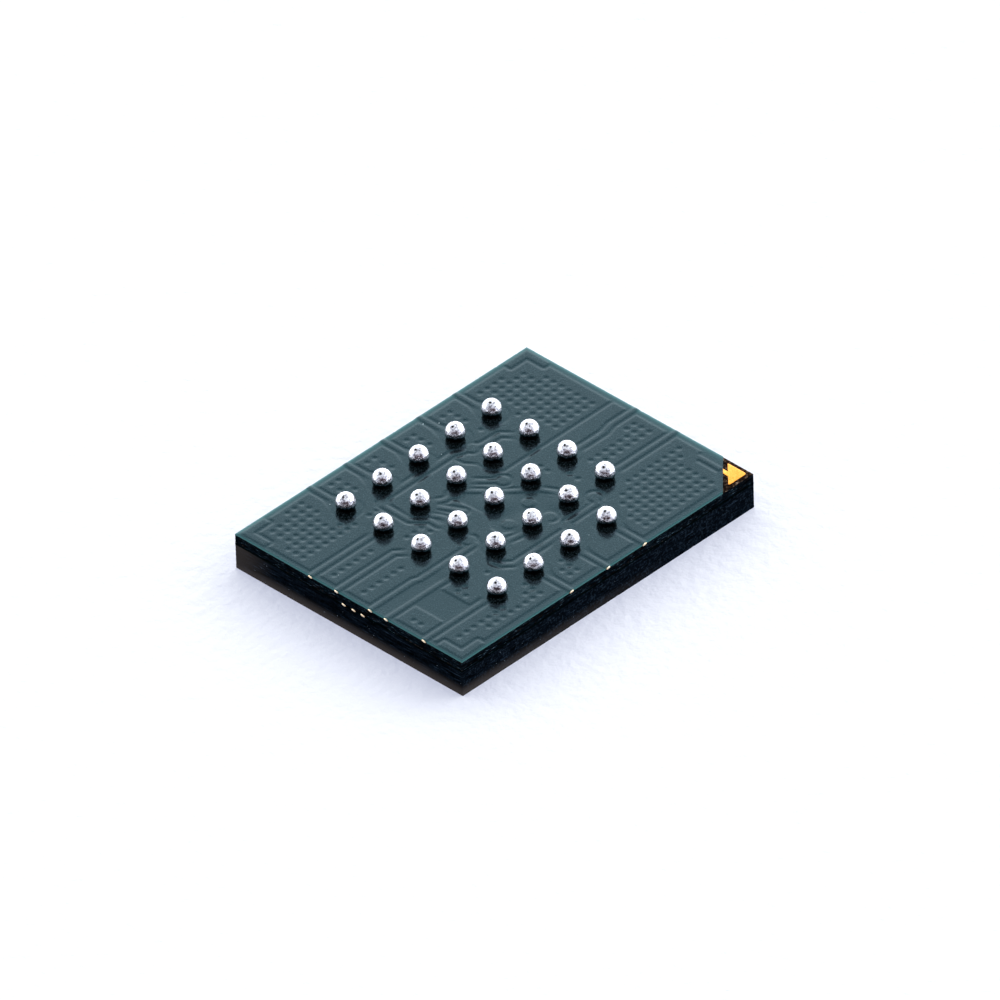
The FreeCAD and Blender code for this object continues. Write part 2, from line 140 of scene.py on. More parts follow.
def put_points(mesh, points):
    mesh.vertices.foreach_set("co", (points * MM).ravel())
    mesh.update()


# %% Helpers for materials
def linear(hex_text):
    """An sRGB hex colour as the linear RGBA that a shader reads."""
    parts = [int(hex_text[k:k + 2], 16) / 255 for k in (1, 3, 5)]
    return [p / 12.92 if p <= 0.04045 else ((p + 0.055) / 1.055) ** 2.4 for p in parts] + [1]


def add_node(material, kind, inputs=None, stops=(), **settings):
    """Adds a node. An input is a value, the socket that feeds it, or a node for its first
    output in use. Stops are the places and colours of a colour ramp."""
    tree = material.node_tree
    node = tree.nodes.new(kind)
    for name, value in settings.items():
        setattr(node, name, value)
    for socket, value in (inputs or {}).items():
        if isinstance(value, bpy.types.Node):
            value = next(output for output in value.outputs if output.enabled)
        if isinstance(value, bpy.types.NodeSocket):
            tree.links.new(value, node.inputs[socket])
        else:
            node.inputs[socket].default_value = value
    for k, (position, colour) in enumerate(stops):
        elements = node.color_ramp.elements
        element = elements[k] if k < 2 else elements.new(position)
        element.position, element.color = position, colour
    return node


def new_material(name):
    material = bpy.data.materials.new(name)
    material.use_nodes = True
    material.node_tree.nodes.clear()
    print("Finish:", name)
    return material


BLACK, WHITE = (0, 0, 0, 1), (1, 1, 1, 1)
PER_MM = 1 / MM
SHARE, UNDER, OVER = 0, 6, 7  # the sockets of a Mix node that blends two colours

# %% [markdown]
# ## Solder mask
# Solder mask is a liquid epoxy film, printed over the copper and cured to a hard gloss. It is
# almost black by itself. What one sees is the sky in its gloss, tinted teal by the pigment that
# floats up to the skin. A teal base colour would be the plain way, but then the mirrored balls
# would be teal too, and they are black. So the base is dark and the specular tint is teal.
# Over copper the film is a little greyer. The mesh carries the copper's plan as an attribute.

# %% Make the solder mask's finish
def cured_solder_mask():
    """Printed wet and cured, so it has a gloss with a fine orange peel, and pale filler grains."""
    material = new_material("cured_solder_mask")
    place = add_node(material, "ShaderNodeTexCoord").outputs["Object"]
    over_copper = add_node(material, "ShaderNodeAttribute", attribute_name="copper_below")
    film = add_node(material, "ShaderNodeMix", {
        SHARE: over_copper.outputs["Fac"], UNDER: linear("#010607"), OVER: linear("#060808")},
        data_type="RGBA")
    clouds = add_node(material, "ShaderNodeTexNoise", {
        "Vector": place, "Scale": PER_MM / 0.6, "Detail": 2})
    deeper = add_node(material, "ShaderNodeMix", {
        SHARE: clouds, UNDER: film, OVER: linear("#010405")}, data_type="RGBA")
    filler = add_node(material, "ShaderNodeTexNoise", {
        "Vector": place, "Scale": PER_MM / 0.022, "Detail": 1})
    filler_tint = add_node(material, "ShaderNodeValToRGB", {"Fac": filler}, stops=[
        (0.52, BLACK), (0.76, linear("#2a3438"))])
    grainy = add_node(material, "ShaderNodeMix", {
        SHARE: 1.0, UNDER: deeper, OVER: filler_tint}, data_type="RGBA", blend_type="ADD")
    edge_glow = add_node(material, "ShaderNodeAttribute", attribute_name="edge_glow")
    glowing = add_node(material, "ShaderNodeMix", {
        SHARE: edge_glow.outputs["Fac"], UNDER: grainy, OVER: linear("#3b6866")},
        data_type="RGBA")
    cells = add_node(material, "ShaderNodeTexVoronoi", {"Vector": place, "Scale": PER_MM / 0.5})
    dust = add_node(material, "ShaderNodeMapRange", {
        "Value": cells, "From Min": 0.026, "From Max": 0.014})
    tint = add_node(material, "ShaderNodeMix", {
        SHARE: dust, UNDER: glowing, OVER: linear("#b9c4c4")}, data_type="RGBA")
    peel = add_node(material, "ShaderNodeTexNoise", {
        "Vector": place, "Scale": PER_MM / 0.035, "Detail": 2})
    relief = add_node(material, "ShaderNodeBump", {"Height": peel, "Distance": 0.0022 * MM})
    surface = add_node(material, "ShaderNodeBsdfPrincipled", {
        "Base Color": tint, "Roughness": 0.06, "IOR": 1.375,
        "Specular Tint": linear("#2cc0df"), "Normal": relief})
    add_node(material, "ShaderNodeOutputMaterial", {"Surface": surface})
    return material


solder_mask = cured_solder_mask()

# %% [markdown]
# ## The plan of the copper
# The mask is cast over copper 0.015 mm thick, so its top is a relief of traces, lands and pours.
# The lines could be cut into a flat sheet, but a cut edge is steep and jagged on a grid. So the
# plan is a signed distance in millimetres, more than zero over copper, which gives soft even
# slopes along any line.

# %% Name the ball grid and the routes
STEPS = range(-2, 3)
PIN_ONE = (2, -2)
BALLS = [(i, j) for i in STEPS for j in STEPS if (i, j) != PIN_ONE]
ON_POUR = [(1, 0), (1, 1)]

TRACE = 0.11
GAP = 0.08
LAND = 0.45
VIA_PAD = 0.27
HOLE = 0.105

STUBS = [[(i, 2), (i, HALF_Y)] for i in STEPS]
STUBS += [[(i, -2), (i, -HALF_Y)] for i in (-1, 0, 1)]
STUBS += [[(-2, j), (-HALF_X, j)] for j in (1, -1, -2)] + [[(2, -1), (HALF_X, -1)]]
ROUTES = [
    [(2, 0), (3.02, 0), (3.28, 0.07), (HALF_X, 0.07)],
    [(-2, 0), (-2.15, 0.05), (-2.42, 0.31), (-HALF_X, 0.31)],
    [(-1, 0), (-1.17, -0.45), (-1.17, -0.63), (-2.68, -0.63), (-2.8, -0.58), (-HALF_X, -0.58)],
    [(2, 1), (1.8, 1.2), (1.62, 1.42), (1.2, 1.44), (0.97, 1.52), (0.75, 1.58), (0.6, 1.66),
     (-1.3, 1.66), (-1.48, 1.52), (-1.48, 0.82), (-1.22, 0.52), (-1.22, 0.3), (-1, 0)],
    [(0, 1), (0.22, 0.78), (0.45, 0.53), (0.62, 0.37)],
    [(0, 1), (-0.14, 0.72), (0.12, 0.42), (0, 0)],
    [(0, 0), (0.33, 0.16), (0.66, -0.14), (0.9, -0.37), (1.03, -0.62), (1, -1)],
    [(-1, 1), (-0.72, 0.86), (-0.58, 0.77), (-0.3, 0.76)],
    [(-1.08, 0.6), (-1.0, 0.45), (-0.97, 0.3)],
    [(-0.8, 0.68), (-0.68, 0.45), (-0.58, 0.25)],
    [(0, -1), (-0.18, -0.82), (-0.3, -0.66)],
    [(-1, -1), (-0.62, -1.02), (-0.3, -1.08), (0, -1), (0.4, -1.08)],
    [(-1, -1), (-1.33, -1.28), (-1.3, -1.46), (-1.13, -1.62), (0.35, -1.62), (0.5, -1.46),
     (1.3, -1.46), (1.42, -1.28)],
]
VIAS = [(0.97, 1.52), (0.62, 0.37), (0.45, -0.47), (0.4, -1.08), (1.42, -1.28), (-0.3, 0.76),
        (-0.3, -0.66), (-1.17, -0.45)]

# %% Name the pours' edges and the places without copper
POUR_FROM = (-3.87, -2.83)
POUR_TO = (3.83, 2.85)
POUR_SLIT = [(0.46, 1.66), (0.52, 1.3), (0.67, 1.1), (0.67, 0.8), (0.85, 0.565), (HALF_X, 0.565)]
BARE_CENTRE = [(-0.45, 0.72), (-0.1, 0.55), (0.3, 0.1), (0.85, -0.4), (0.92, -0.9), (0.6, -1.15),
               (-0.1, -1.15), (-0.62, -0.75), (-0.62, -0.5), (-0.35, -0.2)]
BARE_BAND = [(-HALF_X, -0.65), (-1.7, -0.65), (-1.7, -0.92), (-HALF_X, -0.92)]
BARE_PATCH = [(-3.33, -1.9), (-2.62, -1.9), (-2.62, -1.05), (-3.33, -1.05)]

CUT_FRONT = (3.15, -HALF_Y)
CUT_RIGHT = (HALF_X, -2.2)
CORNER_SKIRT = [(2.985, -HALF_Y), (HALF_X, -HALF_Y), (HALF_X, -2.035)]
NECK = [(3.61, -2.46), (3.72, -2.46), (3.72, -1.93), (3.61, -1.93)]
BESIDE_NECK = [(3.72, -HALF_Y), (HALF_X, -HALF_Y), (HALF_X, -1.8), (3.72, -1.8)]
NECK_SLIT = [(3.53, -HALF_Y), (3.61, -HALF_Y), (3.61, -1.93), (3.53, -1.93)]

MARK_INSET = 0.08
MARK_REACH = 0.7
MARK_INNER = 0.25
MARKED_CORNERS = [(-1, -1), (-1, 1), (1, 1)]
print(len(STUBS), "stubs,", len(ROUTES), "routes and", len(VIAS), "vias")

# %% [markdown]
# The pours have rows of small round holes, so that gas can leave the laminate when it is heated.
# They stand 0.2 mm apart. Each row is its y, its first x and its last x.

# %% Name the rows of holes
HOLE_PITCH = 0.2
HOLE_ROWS = [
    (2.70, -2.88, -2.48), (2.50, -3.48, -2.48), (2.30, -3.48, -2.48), (2.08, -3.48, -2.68),
    (1.89, -3.68, -2.68), (1.69, -3.68, -2.48), (1.49, -3.68, -2.28), (1.49, -1.88, -1.68),
    (1.68, -1.48, -1.48), (2.70, -1.68, -1.48), (2.47, -1.68, -1.48), (2.27, -1.47, -1.47),
    (2.68, -0.71, -0.51), (2.45, -0.52, -0.52), (2.23, -0.50, -0.50), (2.62, 0.30, 0.50),
    (2.42, 0.50, 0.50), (2.20, 0.50, 0.50), (2.62, 1.30, 1.50), (2.42, 1.50, 1.50),
    (2.22, 1.50, 1.50), (1.80, 1.50, 1.50), (2.62, 2.32, 2.92), (2.42, 2.52, 3.32),
    (2.22, 2.52, 3.32), (2.02, 2.52, 3.52), (1.82, 2.52, 3.52), (1.61, 2.32, 3.52),
    (1.41, 2.52, 3.52), (1.20, 2.52, 3.52), (1.00, 2.52, 3.52), (0.80, 2.52, 3.52),
    (-0.25, 3.38, 3.58), (-0.43, 2.20, 3.60), (-0.63, 2.40, 3.60), (-0.43, 1.62, 1.62),
    (-0.65, 1.62, 1.62), (0.15, 1.42, 1.42), (-0.05, 1.40, 1.40), (-1.42, 2.20, 3.60),
    (-1.63, 1.82, 3.40), (-1.83, 1.62, 3.20), (-2.03, 1.62, 3.20), (-2.22, 1.42, 3.20),
    (-2.43, 1.42, 3.20), (-2.63, 1.42, 3.20), (0.68, -3.68, -2.68), (-0.12, -3.68, -2.68),
    (-1.43, -3.68, -3.68), (-1.62, -3.68, -3.68), (-1.42, -2.47, -2.27), (-1.42, -1.67, -1.67),
    (-1.63, -2.47, -2.47), (-2.42, -3.47, -2.27), (-2.42, -1.67, -1.47), (-2.62, -2.87, -1.47),
    (-2.22, -1.47, -1.47), (-2.43, -0.67, -0.47), (-2.63, -0.67, -0.47), (-2.22, -0.48, -0.48),
    (0.48, -1.90, -1.50), (0.27, -1.47, -1.47),
]
HOLES = [(first + k * HOLE_PITCH, y) for y, first, last in HOLE_ROWS
         for k in range(round((last - first) / HOLE_PITCH) + 1)]
print(len(HOLES), "holes in the pours")

# %% Measure distances in the plan
def from_line(x, y, start, end, start_radius=0.0, end_radius=0.0):
    """Distance from a band round a straight line. The band may widen along its length."""
    run_x, run_y = end[0] - start[0], end[1] - start[1]
    along = ((x - start[0]) * run_x + (y - start[1]) * run_y) / (run_x ** 2 + run_y ** 2)
    along = np.clip(along, 0, 1)
    away = np.hypot(x - start[0] - along * run_x, y - start[1] - along * run_y)
    return away - start_radius - along * (end_radius - start_radius)


def from_route(x, y, points, radius):
    return np.minimum.reduce([from_line(x, y, a, b, radius, radius)
                              for a, b in zip(points, points[1:])])


def inside(x, y, corners):
    """Distance from a closed outline, more than zero inside it."""
    within = np.zeros(x.shape, bool)
    sides = list(zip(corners, corners[1:] + corners[:1]))
    for a, b in sides:
        if a[1] != b[1]:
            crossing = a[0] + (y - a[1]) * (b[0] - a[0]) / (b[1] - a[1])
            within ^= ((a[1] > y) != (b[1] > y)) & (x < crossing)
    away = np.minimum.reduce([from_line(x, y, a, b) for a, b in sides])
    return np.where(within, away, -away)


def mark_outline(corner):
    """An angle of copper that points into a corner of the package."""
    near, far, inner = MARK_INSET, MARK_REACH, MARK_INNER
    steps = [(near, near), (far, near), (far, inner), (inner, inner), (inner, far), (near, far)]
    return [(corner[0] * (HALF_X - a), corner[1] * (HALF_Y - b)) for a, b in steps]


# %% Add up the plan
# The gap beside a stub tapers from the ball's land to the trace. Each taper is its first y, its
# last y, its lean in x and its half width at both ends.
BACK_TAPER = (1.95, 2.5, 0, 0.33, TRACE / 2 + GAP)
FRONT_TAPER = (-2.05, -2.45, 0.06, 0.3, 0.08)


def taper(x, y, i, shape):
    first, last, lean, wide, narrow = shape
    return from_line(x, y, (i, first), (i + lean, last), wide, narrow)


def copper_plan(x, y):
    """Distance from the edge of the nearest copper, more than zero over copper."""
    lines = STUBS + ROUTES
    signal = np.minimum.reduce(
        [from_route(x, y, points, TRACE / 2) for points in lines]
        + [np.hypot(x - i, y - j) - LAND / 2 for i, j in BALLS]
        + [np.hypot(x - i, y - j) - VIA_PAD / 2 for i, j in VIAS])
    pour = np.minimum.reduce([x - POUR_FROM[0], POUR_TO[0] - x, y - POUR_FROM[1], POUR_TO[1] - y])
    clear = [from_route(x, y, points, TRACE / 2 + GAP) for points in lines]
    clear += [np.hypot(x - i, y - j) - LAND / 2 - GAP for i, j in BALLS if (i, j) not in ON_POUR]
    clear += [np.hypot(x - i, y - j) - VIA_PAD / 2 - GAP for i, j in VIAS]
    clear += [taper(x, y, i, BACK_TAPER) for i in STEPS]
    clear += [taper(x, y, i, FRONT_TAPER) for i in (-1, 0, 1)]
    clear += [-inside(x, y, mark_outline(corner)) - GAP for corner in MARKED_CORNERS]
    clear += [-inside(x, y, bare) for bare in (BARE_CENTRE, BARE_BAND, BARE_PATCH, CORNER_SKIRT,
                                               BESIDE_NECK, NECK_SLIT)]
    clear += [from_route(x, y, POUR_SLIT, GAP / 2)]
    clear += [np.hypot(x - i, y - j) - HOLE / 2 for i, j in HOLES]
    pour = np.minimum.reduce([pour] + clear)
    marks = [inside(x, y, mark_outline(corner)) for corner in MARKED_CORNERS]
    return np.maximum.reduce([-signal, pour, inside(x, y, NECK)] + marks)


def smooth_step(value, low, high):
    t = np.clip((value - low) / (high - low), 0, 1)
    return t * t * (3 - 2 * t)


# %% [markdown]
# ## The mask as a film over the copper
# A grid is the right start, because the film is one even sheet. Each point drops to the height
# that the plan gives. The rim is then drawn down to the laminate and closed, and the corner at
# pin one is cut away with bisect, as the real film is left open there. Round each land the wet
# film pools against the copper, so it lies flat close to the balls. A bump texture could draw
# the same lines, but it would be lost in the mesh that is kept.

# %% Cast the film
FILM_CELL = 0.0227
RELIEF = 0.0066
SLOPE_WIDTH = 0.065
OPENING = 0.3
MENISCUS = (0.2, 0.48)  # how far from a ball's middle the relief starts and is full
ARRIS = 0.006
SAW_LOSS = 0.002
# How far light gets into the film from its far and its near edges, how strong it is at the
# near ones, and how much of it copper hides
FAR_GLOW = 0.06
NEAR_GLOW = 0.024
NEAR_SHARE = 0.75
GLOW_HIDDEN = 0.6


def cast_film():
    """A film that sinks between the copper, with light in its thin edges as an attribute."""
    bpy.ops.mesh.primitive_grid_add(x_subdivisions=round(2 * HALF_X / FILM_CELL),
                                    y_subdivisions=round(2 * HALF_Y / FILM_CELL), size=1,
                                    location=(0, 0, FILM_TOP * MM))
    film = bpy.context.object
    film.scale = (2 * HALF_X * MM, 2 * HALF_Y * MM, 1)
    freeze(film)
    points = points_of(film.data)
    x, y = points[:, 0].copy(), points[:, 1].copy()
    plan = copper_plan(x, y)
    covered = smooth_step(plan, -SLOPE_WIDTH / 2, SLOPE_WIDTH / 2)
    well = np.minimum.reduce([np.hypot(x - i, y - j) for i, j in BALLS])
    points[:, 2] = FILM_TOP - RELIEF * (1 - covered) * smooth_step(well, *MENISCUS)
    points[well < OPENING / 2, 2] = COPPER_TOP + SAW_LOSS / 2
    rim = np.minimum(HALF_X - np.abs(x), HALF_Y - np.abs(y)) < FILM_CELL / 2
    points[rim, 2] -= ARRIS
    put_points(film.data, points)
    far_glow = np.exp((np.maximum(x - HALF_X, y - HALF_Y)) / FAR_GLOW)
    near_glow = NEAR_SHARE * np.exp(-np.minimum(x + HALF_X, y + HALF_Y) / NEAR_GLOW)
    glow = np.maximum(far_glow, near_glow) * (1 - GLOW_HIDDEN * covered)
    for name, values in (("copper_below", covered), ("edge_glow", glow)):
        layer = film.data.attributes.new(name, "FLOAT", "POINT")
        layer.data.foreach_set("value", values)
    return film


film = cast_film()
print(len(film.data.vertices), "points in the film")

# %% Close the film's rim and cut the corner
def close_film(piece):
    """Draws the rim down, fills the underside and cuts the corner at pin one."""
    bpy.ops.object.mode_set(mode="EDIT")
    bpy.ops.mesh.select_all(action="DESELECT")
    bpy.ops.mesh.select_mode(type="EDGE")
    bpy.ops.mesh.select_non_manifold()
    bpy.ops.mesh.extrude_edges_move()
    bpy.ops.object.mode_set(mode="OBJECT")
    points = points_of(piece.data)
    foot = np.array([vertex.select for vertex in piece.data.vertices])
    points[foot, 2] = CORE_TOP
    put_points(piece.data, points)
    bpy.ops.object.mode_set(mode="EDIT")
    bpy.ops.mesh.edge_face_add()
    bpy.ops.mesh.select_all(action="SELECT")
    across = Vector((CUT_RIGHT[1] - CUT_FRONT[1], CUT_FRONT[0] - CUT_RIGHT[0], 0))
    bpy.ops.mesh.bisect(plane_co=(CUT_FRONT[0] * MM, CUT_FRONT[1] * MM, 0), plane_no=across,
                        use_fill=True, clear_outer=True, threshold=CLOSE)
    bpy.ops.mesh.select_all(action="SELECT")
    bpy.ops.mesh.normals_make_consistent(inside=False)
    bpy.ops.object.mode_set(mode="OBJECT")


close_film(film)
print(len(film.data.polygons), "faces in the closed film")

# %% Leave the saw's wear on the rim
NICKS_ALONG = 9  # waves of the nicks' pattern in a millimetre, along the rim and up
NICKS_UP = 20
NICK_FROM = 0.3
NICK_DEPTH = 0.012
ROUND_TO = math.radians(50)  # edges that turn less than this are shaded smooth


def wear_rim(piece):
    """The saw leaves the film a hair short of the package's faces, with small nicks."""
    points = points_of(piece.data)
    for axis, half in ((0, HALF_X), (1, HALF_Y)):
        rim = np.flatnonzero(np.abs(points[:, axis]) > half - FILM_CELL / 3)
        for k in rim:
            along = points[k, 1 - axis]
            spot = Vector((along * NICKS_ALONG, half, points[k, 2] * NICKS_UP))
            nick = max(0, noise.noise(spot) - NICK_FROM)
            points[k, axis] -= math.copysign(SAW_LOSS + NICK_DEPTH * nick, points[k, axis])
    put_points(piece.data, points)


wear_rim(film)
deselect()
film.select_set(True)
bpy.ops.object.shade_smooth_by_angle(angle=ROUND_TO)
finish_piece(film, "solder_mask_film", solder_mask, "solder_mask", "ball_side_mask")

# %% [markdown]
# ## Sawn sides
# The panel of chips is diced with a diamond saw, so the sides of the mould and of the laminate
# carry fine level scratches and small chips along the edges. A bump texture would leave the
# edges ruler straight. So a plate's outline is divided and drawn up layer by layer with extrude,
# and every point of the wall steps back by a few thousandths of a millimetre, more along the
# level scratches than across them.

# %% Scratch a block's walls
# A scratch is how many waves its pattern has in a millimetre, along the wall and up
LONG_SCRATCH = (0.8, 60)
SHORT_SCRATCH = (3, 150)
SHORT_DEPTH = 0.5
SCRATCH_LEVEL = 0.5
CHIP_REACH = 0.02
CHIPS = 11
CHIP_FROM = 0.25
CHIP_LAYER = 7  # the height at which the pattern is read for the chips
ON_WALL = 1e-4


def scratch_walls(block, bottom, top, depth, chip):
    points = points_of(block.data)
    for point in points:
        x, y, z = point
        long, short = (noise.noise(Vector((x * along, y * along, z * up)))
                       for along, up in (LONG_SCRATCH, SHORT_SCRATCH))
        streak = long + SCRATCH_LEVEL + SHORT_DEPTH * short
        back = SAW_LOSS + depth * max(0, streak)
        nearness = max(0, 1 - min(z - bottom, top - z) / CHIP_REACH)
        bite = max(0, noise.noise(Vector((x * CHIPS, y * CHIPS, CHIP_LAYER))) - CHIP_FROM)
        back += chip * nearness * bite
        if abs(abs(x) - HALF_X) < ON_WALL:
            point[0] -= math.copysign(back, x)
        if abs(abs(y) - HALF_Y) < ON_WALL:
            point[1] -= math.copysign(back, y)
    put_points(block.data, points)


# %% Draw up a sawn block
CRISP_TO = math.radians(40)


def sawn_block(bottom, top, layers, spacing, depth, chip):
    """A block with the package's outline. Depth is of the scratches and chip of the edges."""
    bpy.ops.mesh.primitive_plane_add(size=1, location=(0, 0, bottom * MM))
    block = bpy.context.object
    block.scale = (2 * HALF_X * MM, 2 * HALF_Y * MM, 1)
    freeze(block)
    bpy.ops.object.mode_set(mode="EDIT")
    bpy.ops.mesh.select_mode(type="EDGE")
    bpy.ops.mesh.select_all(action="SELECT")
    bpy.ops.mesh.delete(type="ONLY_FACE")
    form = bmesh.from_edit_mesh(block.data)
    for edge in list(form.edges):
        cuts = round(edge.calc_length() / MM / spacing) - 1
        bmesh.ops.subdivide_edges(form, edges=[edge], cuts=cuts)
    bmesh.update_edit_mesh(block.data)
    bpy.ops.mesh.select_all(action="SELECT")
    bpy.ops.mesh.edge_face_add()
    bpy.ops.mesh.select_all(action="SELECT")
    step = (top - bottom) / layers * MM
    for layer in range(layers):
        bpy.ops.mesh.extrude_edges_move(TRANSFORM_OT_translate={"value": (0, 0, step)})
    bpy.ops.mesh.edge_face_add()
    bpy.ops.mesh.select_all(action="SELECT")
    bpy.ops.mesh.normals_make_consistent(inside=False)
    bpy.ops.object.mode_set(mode="OBJECT")
    scratch_walls(block, bottom, top, depth, chip)
    deselect()
    block.select_set(True)
    bpy.ops.object.shade_smooth_by_angle(angle=CRISP_TO)
    return block


# %% [markdown]
# ## Mould compound
# The black body is epoxy filled with silica sand and cast in a mould. Sawn, it is a deep matt
# black with level streaks. Cut silica grains show as pale specks of about 0.02 mm, fewer on the
# short side that a fresh blade cut. Its foot and one end are lightened greyish brown by a painted
# reflection of the white paper. One plain black would lose all of this, so each of them is a layer
# of its own. It has no gloss at all, which keeps any real reflection of the white paper out of its
# face.

# %% Make the mould compound's finish
def moulded_epoxy():
    """Cast and then sawn: streaks from the blade, opened sand, cut silica and a painted reflection
    of the paper at the foot.
    """
    material = new_material("silica_filled_moulding_epoxy")
    place = add_node(material, "ShaderNodeTexCoord").outputs["Object"]
    level_run = add_node(material, "ShaderNodeMapping", {"Vector": place, "Scale": (1, 1, 14)})
    streaks = add_node(material, "ShaderNodeTexNoise", {
        "Vector": level_run, "Scale": PER_MM / 0.3, "Detail": 5})
    streak_tint = add_node(material, "ShaderNodeValToRGB", {"Fac": streaks}, stops=[
        (0.4, linear("#010203")), (0.62, linear("#0a1119")), (0.78, linear("#2a3846"))])
    sand = add_node(material, "ShaderNodeTexNoise", {
        "Vector": place, "Scale": PER_MM / 0.045, "Detail": 3})
    sand_tint = add_node(material, "ShaderNodeValToRGB", {"Fac": sand}, stops=[
        (0.5, BLACK), (0.75, linear("#2d3a46"))])
    spot = add_node(material, "ShaderNodeSeparateXYZ", {"Vector": place})
    short_side = add_node(material, "ShaderNodeMapRange", {
        "Value": spot.outputs["X"], "From Min": -(HALF_X - 0.01) * MM,
        "From Max": -(HALF_X - 0.03) * MM, "To Min": 1, "To Max": 0})
    opened = add_node(material, "ShaderNodeMapRange", {
        "Value": short_side, "To Min": 0.4, "To Max": 0.12})
    sawn_tint = add_node(material, "ShaderNodeMix", {
        SHARE: opened, UNDER: streak_tint, OVER: sand_tint}, data_type="RGBA", blend_type="ADD")

    # Painted reflection of the white paper: lighter over the lower 0.28 mm and at the back of the
    # short end, fading away from that end.
    low = add_node(material, "ShaderNodeMapRange", {
        "Value": spot.outputs["Z"], "From Min": 0, "From Max": 0.28 * MM,
        "To Min": 0.75, "To Max": 0}, interpolation_type="SMOOTHSTEP")
    reflection_fade = add_node(material, "ShaderNodeMapRange", {
        "Value": spot.outputs["X"], "From Min": -HALF_X * MM, "From Max": 1.6 * MM,
        "To Min": 1, "To Max": 0})
    end = add_node(material, "ShaderNodeMapRange", {
        "Value": spot.outputs["Y"], "From Min": 1.9 * MM, "From Max": HALF_Y * MM,
        "To Min": 0, "To Max": 0.45}, interpolation_type="SMOOTHSTEP")
    end_reflection = add_node(material, "ShaderNodeMath", {0: end, 1: short_side},
                         operation="MULTIPLY")
    paper_reflection_area = add_node(material, "ShaderNodeMath", {0: low, 1: end_reflection}, operation="MAXIMUM")
    foot = add_node(material, "ShaderNodeMath", {0: paper_reflection_area, 1: reflection_fade}, operation="MULTIPLY")
    # The painted reflection's greyish brown.
    paper_reflection_tint = add_node(material, "ShaderNodeMix", {
        SHARE: foot, UNDER: sawn_tint, OVER: linear("#4a4440")}, data_type="RGBA")

    cells = add_node(material, "ShaderNodeTexVoronoi", {"Vector": place, "Scale": PER_MM / 0.07})
    grains = add_node(material, "ShaderNodeMapRange", {
        "Value": cells, "From Min": 0.16, "From Max": 0.1})
    patches = add_node(material, "ShaderNodeTexNoise", {
        "Vector": place, "Scale": PER_MM / 0.12, "Detail": 2})
    rare = add_node(material, "ShaderNodeMapRange", {
        "Value": patches, "From Min": 0.6, "From Max": 0.66})
    silica = add_node(material, "ShaderNodeMath", {0: grains, 1: rare}, operation="MULTIPLY")
    tint = add_node(material, "ShaderNodeMix", {
        SHARE: silica, UNDER: paper_reflection_tint, OVER: linear("#6c7780")}, data_type="RGBA")
    scratched = add_node(material, "ShaderNodeBump", {
        "Height": streaks, "Distance": 0.006 * MM})
    surface = add_node(material, "ShaderNodeBsdfPrincipled", {
        "Base Color": tint, "Roughness": 0.6, "Specular IOR Level": 0.0, "Normal": scratched})
    add_node(material, "ShaderNodeOutputMaterial", {"Surface": surface})
    return material


# %% Saw the mould
mould = sawn_block(0, MOULD_TOP, layers=26, spacing=0.04, depth=0.003, chip=0.02)
finish_piece(mould, "sawn_mould_cap", moulded_epoxy(), "mould_compound", "mould_cap")

# %% [markdown]
# ## Laminate
# The core is glass cloth in dark brown resin. The saw opens the cloth at the sides, where yarn
# ends show as short pale level dashes. The bare corner at pin one shows the resin's matt face,
# mottled by the copper foil that was etched off it. Two finishes on chosen faces would do, but
# one that turns from face to side with the surface's own direction keeps the piece whole.

# %% Make the laminate's finish
def glass_laminate():
    """Pressed cloth and resin: mottled where foil was etched off, dashed where yarns are cut."""
    material = new_material("glass_cloth_laminate")
    place = add_node(material, "ShaderNodeTexCoord").outputs["Object"]
    cloth = add_node(material, "ShaderNodeTexNoise", {
        "Vector": place, "Scale": PER_MM / 0.06, "Detail": 4})
    face_tint = add_node(material, "ShaderNodeValToRGB", {"Fac": cloth}, stops=[
        (0.35, linear("#0b0706")), (0.5, linear("#211813")), (0.6, linear("#46372c")),
        (0.72, linear("#8a7767"))])
    level_run = add_node(material, "ShaderNodeMapping", {"Vector": place, "Scale": (1, 1, 12)})
    dashes = add_node(material, "ShaderNodeTexNoise", {
        "Vector": level_run, "Scale": PER_MM / 0.14, "Detail": 4})
    side_tint = add_node(material, "ShaderNodeValToRGB", {"Fac": dashes}, stops=[
        (0.45, linear("#010203")), (0.64, linear("#0c171f")), (0.77, linear("#5d7582"))])
    normal = add_node(material, "ShaderNodeNewGeometry").outputs["Normal"]
    upright = add_node(material, "ShaderNodeSeparateXYZ", {"Vector": normal}).outputs["Z"]
    tint = add_node(material, "ShaderNodeMix", {
        SHARE: upright, UNDER: side_tint, OVER: face_tint}, data_type="RGBA", clamp_factor=True)
    opened = add_node(material, "ShaderNodeBump", {"Height": cloth, "Distance": 0.006 * MM})
    surface = add_node(material, "ShaderNodeBsdfPrincipled", {
        "Base Color": tint, "Roughness": 0.5, "Specular IOR Level": 0.0, "Normal": opened})
    add_node(material, "ShaderNodeOutputMaterial", {"Surface": surface})
    return material


# %% Saw the laminate
core = sawn_block(CORE_BOTTOM, CORE_TOP, layers=14, spacing=0.03, depth=0.004, chip=0.01)
finish_piece(core, "sawn_laminate_core", glass_laminate(), "laminate", "laminate_core")

# %% [markdown]
# ## Solder balls
# A ball is reflowed tin, silver and copper: a near perfect sphere on a flat land, with a frosted
# skin of fine grains. Its foot below the middle is painted nearly black with a ragged edge, a
# painted reflection of the black film round it.
# The test socket's crown shaped pins leave small dents round its top, one of them deeper than the
# others, and each dent is painted dark as painted shade in its hollow. One ball is turned from a
# sphere and cut flat, then copied, and each gets its own dents.
# A shared mesh would be lighter, but then every ball would be pressed in the same way.

# %% Make the solder's finish
BALL_MIDDLE = BALL_TOP - BALL_RADIUS
# The ball's foot below its middle is painted nearly black with a ragged edge: a painted reflection
# of the black film round it.
PAINTED_REFLECTION_TOP = BALL_MIDDLE - 0.016
PAINTED_REFLECTION_RAGGED = 0.12
PAINTED_REFLECTION_EDGE = 0.008


